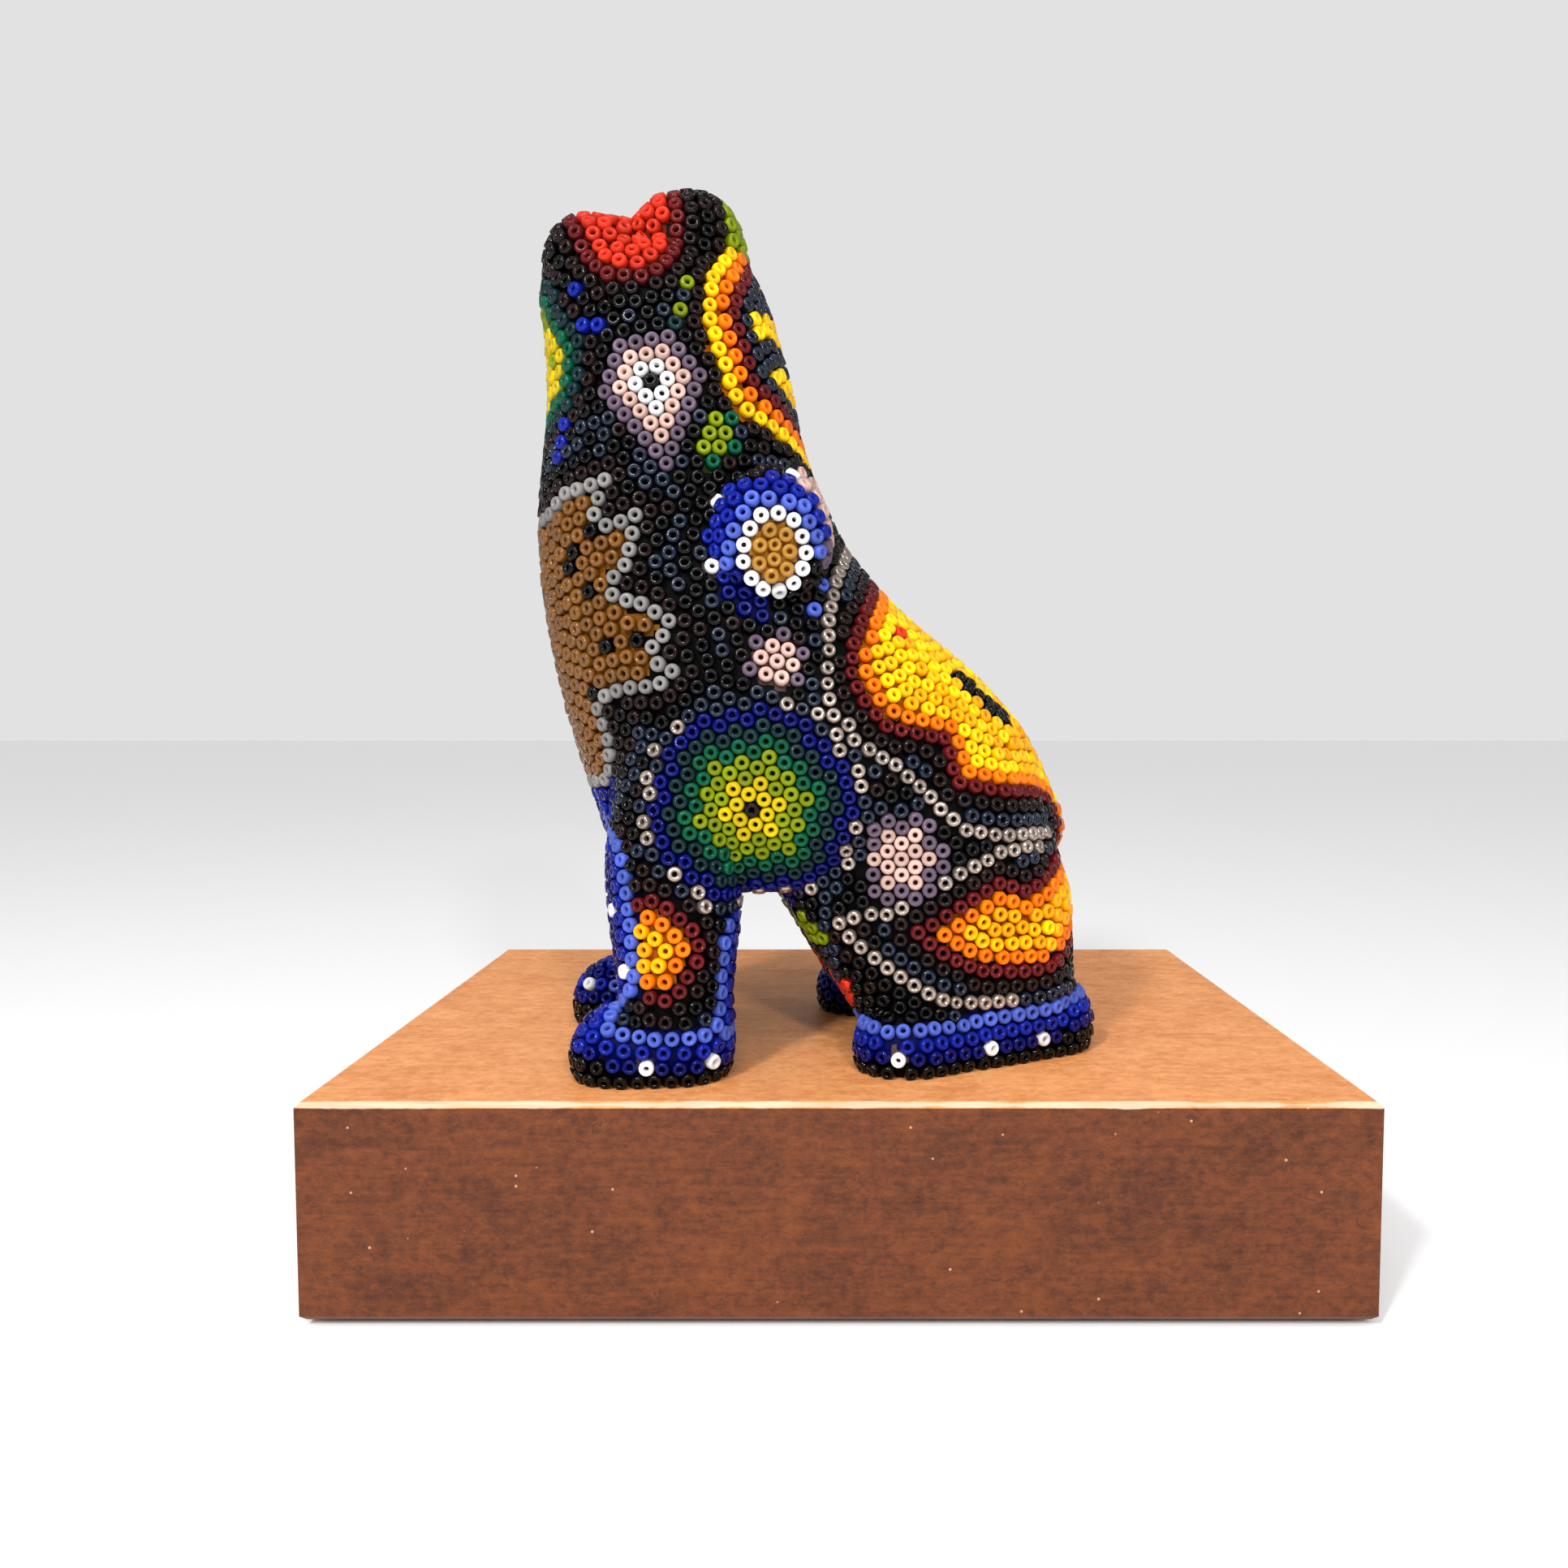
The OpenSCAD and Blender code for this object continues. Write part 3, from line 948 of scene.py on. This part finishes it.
def bead_matrix(normal, nearest):
    """Random turn about the hole, a little lean, and a size that clears the nearest bead."""
    lean = Vector(rng.normal(0, 0.07, 3))
    axis = (normal + lean).normalized()
    turn = axis.to_track_quat("Z", "Y").to_matrix() @ Matrix.Rotation(rng.uniform(0, math.tau), 3, "Z")
    size = rng.normal(1, 0.008) * min(max(nearest / (2 * BEAD_RADIUS), 0.87), 1.03)
    height = rng.normal(1, 0.06)
    return np.array(turn) @ np.diag([size, size, size * height])


def build_mesh(name, points, quads, slots, materials):
    mesh = bpy.data.meshes.new(name)
    mesh.vertices.add(len(points))
    mesh.vertices.foreach_set("co", points.ravel())
    mesh.loops.add(quads.size)
    mesh.loops.foreach_set("vertex_index", quads.ravel())
    mesh.polygons.add(len(quads))
    mesh.polygons.foreach_set("loop_start", np.arange(len(quads)) * 4)
    for material in materials:
        mesh.materials.append(material)
    mesh.polygons.foreach_set("material_index", slots)
    mesh.polygons.foreach_set("use_smooth", np.ones(len(quads), bool))
    mesh.update(calc_edges=True)
    mesh.validate()
    obj = bpy.data.objects.new(name, mesh)
    bpy.context.scene.collection.objects.link(obj)
    return obj


def bead_tags():
    """Each bead's CAD node and colour, with the single odd beads put in last."""
    tags = [tag or classify(p) for p, tag in zip(layout.at, layout.tag, strict=True)]
    tags = [(node or part_of_ground(p), tone) for p, (node, tone) in zip(layout.at, tags, strict=True)]
    tree = layout.tree()
    strays = [(x, z, side, tone) for tone, places in STRAYS.items() for x, z in places for side in SIDES]
    for x, z, side, tone in strays:
        seen = from_side(x, z, side)
        if seen:
            nearest = tree.find(seen[0])[1]
            tags[nearest] = tags[nearest][0], tone
    return tags


def build_beads(tags):
    tree = layout.tree()
    groups = {}
    for p, n, (node, tone) in zip(layout.at, layout.normal, tags, strict=True):
        nearest = tree.find_n(p, 2)[1][2]
        groups.setdefault(node, []).append((p, n, nearest, (tone, random.choice(SHADES))))
    made = {}
    for node, beads in sorted(groups.items()):
        looks = sorted({look_key for *_, look_key in beads})
        for look_key in looks:
            if look_key not in made:
                made[look_key] = bead_material(*look_key)
        points = np.concatenate([TEMPLATE @ bead_matrix(n, gap).T + np.array(p) for p, n, gap, _ in beads])
        quads = np.concatenate([TEMPLATE_QUADS + k * len(TEMPLATE) for k in range(len(beads))])
        slots = np.repeat([looks.index(look_key) for *_, look_key in beads], len(TEMPLATE_QUADS))
        piece = build_mesh(f"{node}_laid", to_shared(points), quads, slots, [made[k] for k in looks])
        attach(piece, "figure")
        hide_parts(node)


# Wax in one painted glow or painted shade colour, with a material for each.
def wax_material(tint):
    material, nt, shader = new_material(f"wax_{tint}")
    shader.inputs["Base Color"].default_value = (*WAX_GLOW_AND_SHADE[tint], 1)
    shader.inputs["Roughness"].default_value = 0.55
    shader.inputs["Specular IOR Level"].default_value = 0.04
    bump(nt, shader, 500, 0.4, 0.0002)
    return material


def build_wax(tags):
    """Each patch of wax is painted with light from the bead nearest it: a coloured glow under clear and
    bright beads, near black shade under dark ones.
    """
    points = core_points + core_normals * WAX
    points[:, 2] = np.maximum(points[:, 2], 0)
    tree = layout.tree()
    painted_wax_lights = list(WAX_GLOW_AND_SHADE)
    slots = np.array(
        [
            painted_wax_lights.index(PALETTE[tags[tree.find(middle)[1]][1]][2]) if middle[2] > 0.2 else 0
            for middle in points[core_quads].mean(axis=1)
        ]
    )
    materials = [wax_material(tint) for tint in painted_wax_lights]
    wax = build_mesh("wax_coat_spread", to_shared(points), core_quads, slots, materials)
    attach(wax, "figure")
    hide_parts("wax_coat")


# ---------------------------------------------------------------- block
class Nodes:
    """Short calls for a longer material."""

    def __init__(self, nt):
        self.nt = nt

    def link(self, value, socket):
        if isinstance(value, bpy.types.NodeSocket):
            self.nt.links.new(value, socket)
        else:
            socket.default_value = value

    def math(self, operation, a, b=0.0):
        node = add_node(self.nt, "ShaderNodeMath", operation=operation)
        self.link(a, node.inputs[0])
        self.link(b, node.inputs[1])
        return node.outputs["Value"]

    def step(self, value, low, high):
        """0 under low, 1 over high, and a smooth step between them."""
        limits = {"From Min": low, "From Max": high}
        node = add_node(self.nt, "ShaderNodeMapRange", limits, interpolation_type="SMOOTHSTEP")
        self.link(value, node.inputs["Value"])
        return node.outputs["Result"]

    def noise(self, vector, scale, stretch=(1, 1, 1), **inputs):
        mapping = add_node(self.nt, "ShaderNodeMapping", {"Scale": stretch})
        self.link(vector, mapping.inputs["Vector"])
        named = {key.capitalize(): value for key, value in inputs.items()}
        node = add_node(self.nt, "ShaderNodeTexNoise", {"Scale": scale, **named})
        self.link(mapping.outputs["Vector"], node.inputs["Vector"])
        return node.outputs["Fac"]

    def blend(self, factor, a, b, kind="MIX"):
        node = add_node(self.nt, "ShaderNodeMix", data_type="RGBA", blend_type=kind)
        self.link(factor, node.inputs["Factor"])
        self.link(a, node.inputs["A"])
        self.link(b, node.inputs["B"])
        return node.outputs["Result"]


def wood_material():
    """Stained hardwood worn to bare wood along the top edge, with a painted lit top and painted shaded
    sides.
    """
    material, nt, shader = new_material("stained_wood")
    n = Nodes(nt)
    coords = add_node(nt, "ShaderNodeTexCoord")
    at = coords.outputs["Object"]
    middle = (block_low + block_high) / 2
    half = (block_high - block_low) / 2
    place_xyz = add_node(nt, "ShaderNodeSeparateXYZ")
    nt.links.new(at, place_xyz.inputs["Vector"])
    x, y, z = (place_xyz.outputs[k] for k in "XYZ")
    facing = add_node(nt, "ShaderNodeSeparateXYZ")
    nt.links.new(coords.outputs["Normal"], facing.inputs["Vector"])

    figure = n.noise(at, 60, (0.5, 1, 1), detail=4, roughness=0.6, distortion=0.6)
    mottle = n.noise(at, 800, (0.7, 1, 1), detail=5, roughness=0.8)
    clouds = n.noise(at, 170, (0.6, 1, 1), detail=3, roughness=0.6, distortion=0.8)
    streaks = n.noise(at, 1500, (0.06, 1, 1), detail=4, roughness=0.7)
    tone = 0.5
    for layer, amount in ((mottle, 1.4), (clouds, 0.6), (figure, 0.35), (streaks, 0.5)):
        tone = n.math("ADD", n.math("MULTIPLY", n.math("SUBTRACT", layer, 0.5), amount), tone)
    tone = n.step(tone, 0.05, 0.95)
    # Painted light and shade: one stain in a dark shaded version for the sides and a bright lit version for
    # the top, blended by how far the surface faces up.
    side = n.blend(tone, (0.046, 0.01, 0.003, 1), (0.185, 0.045, 0.009, 1))
    top = n.blend(tone, (0.6, 0.2, 0.052, 1), (0.93, 0.42, 0.16, 1))
    painted_lit_top = n.step(facing.outputs["Z"], 0.4, 0.8)
    colour = n.blend(painted_lit_top, side, top)

    # Dark pores: thin curved lines where a noise crosses its middle, broken up by another
    wander = n.noise(at, 330, (0.6, 1, 1), detail=1, distortion=1.2)
    pore = n.math("ABSOLUTE", n.math("SUBTRACT", wander, 0.5))
    broken = n.step(n.noise(at, 240, detail=1), 0.56, 0.62)
    pores = n.math("MULTIPLY", n.math("SUBTRACT", 1.0, n.step(pore, 0.004, 0.014)), broken)
    pores = n.math("MULTIPLY", pores, n.math("SUBTRACT", 1.0, painted_lit_top))
    colour = n.blend(n.math("MULTIPLY", pores, 0.6), colour, (0.05, 0.014, 0.006, 1))

    # Pale nicks and dust
    cells = add_node(nt, "ShaderNodeTexVoronoi", {"Scale": 420})
    nt.links.new(at, cells.inputs["Vector"])
    chosen = add_node(nt, "ShaderNodeSeparateColor")
    nt.links.new(cells.outputs["Color"], chosen.inputs["Color"])
    nick = n.math("SUBTRACT", 1.0, n.step(cells.outputs["Distance"], 0.05, 0.1))
    nick = n.math("MULTIPLY", nick, n.step(chosen.outputs["Red"], 0.7, 0.72))
    colour = n.blend(n.math("MULTIPLY", nick, 0.6), colour, (0.7, 0.42, 0.26, 1))

    # Wear along the top edges, widest along the front one: distance from the edge in metres
    ragged = n.math("MULTIPLY", n.math("SUBTRACT", n.noise(at, 260, (0.5, 1, 1), detail=4), 0.5), 0.0011)
    down = n.math("SUBTRACT", block_high.z, z)
    front_in = n.math("SUBTRACT", y, block_low.y)
    side_in = n.math("SUBTRACT", half.x, n.math("ABSOLUTE", n.math("SUBTRACT", x, middle.x)))
    back_in = n.math("SUBTRACT", block_high.y, y)
    front_edge = n.math("ADD", n.math("MAXIMUM", down, front_in), ragged)
    other_edge = n.math("ADD", n.math("MAXIMUM", down, n.math("MINIMUM", side_in, back_in)), ragged)
    worn = n.math("SUBTRACT", 1.0, n.step(front_edge, 0.0005, 0.0007))
    rubbed = n.math("MULTIPLY", n.math("SUBTRACT", 1.0, n.step(other_edge, 0.0001, 0.0005)), 0.55)
    bare = n.blend(streaks, (0.4, 0.2, 0.1, 1), (0.85, 0.68, 0.48, 1))
    colour = n.blend(n.math("MAXIMUM", worn, rubbed), colour, bare)
    nt.links.new(colour, shader.inputs["Base Color"])

    shader.inputs["Specular IOR Level"].default_value = 0.3
    gloss = add_node(nt, "ShaderNodeMapRange", {"To Min": 0.38, "To Max": 0.6})
    nt.links.new(mottle, gloss.inputs["Value"])
    nt.links.new(gloss.outputs["Result"], shader.inputs["Roughness"])
    relief = add_node(nt, "ShaderNodeBump", {"Strength": 0.25, "Distance": 0.0002})
    nt.links.new(n.math("SUBTRACT", n.math("ADD", streaks, mottle), pores), relief.inputs["Height"])
    nt.links.new(relief.outputs["Normal"], shader.inputs["Normal"])
    return material


def dress_cad_nodes():
    nodes["plinth"].data.materials.clear()
    nodes["plinth"].data.materials.append(wood_material())
    # Painted shade: the felt under the block is near black, standing for the dark shadow gap under the block
    # as well as the felt.
    felt, nt, shader = new_material("felt_black_as_shadow_gap")
    shader.inputs["Base Color"].default_value = (0.006, 0.006, 0.006, 1)
    shader.inputs["Roughness"].default_value = 0.95
    bump(nt, shader, 2500, 0.6, 0.0003)
    nodes["plinth_felt"].data.materials.clear()
    nodes["plinth_felt"].data.materials.append(felt)
    bare, nt, shader = new_material("carved_softwood")
    shader.inputs["Base Color"].default_value = (0.45, 0.27, 0.13, 1)
    shader.inputs["Roughness"].default_value = 0.7
    bump(nt, shader, 300, 0.3, 0.0003, (1, 1, 0.1))
    nodes["body_core"].data.materials.clear()
    nodes["body_core"].data.materials.append(bare)


add_camera()
add_floor()
add_world()
add_lights()
bpy.context.scene.view_settings.view_transform = "Standard"
dress_cad_nodes()
tags = bead_tags()
build_wax(tags)
build_beads(tags)
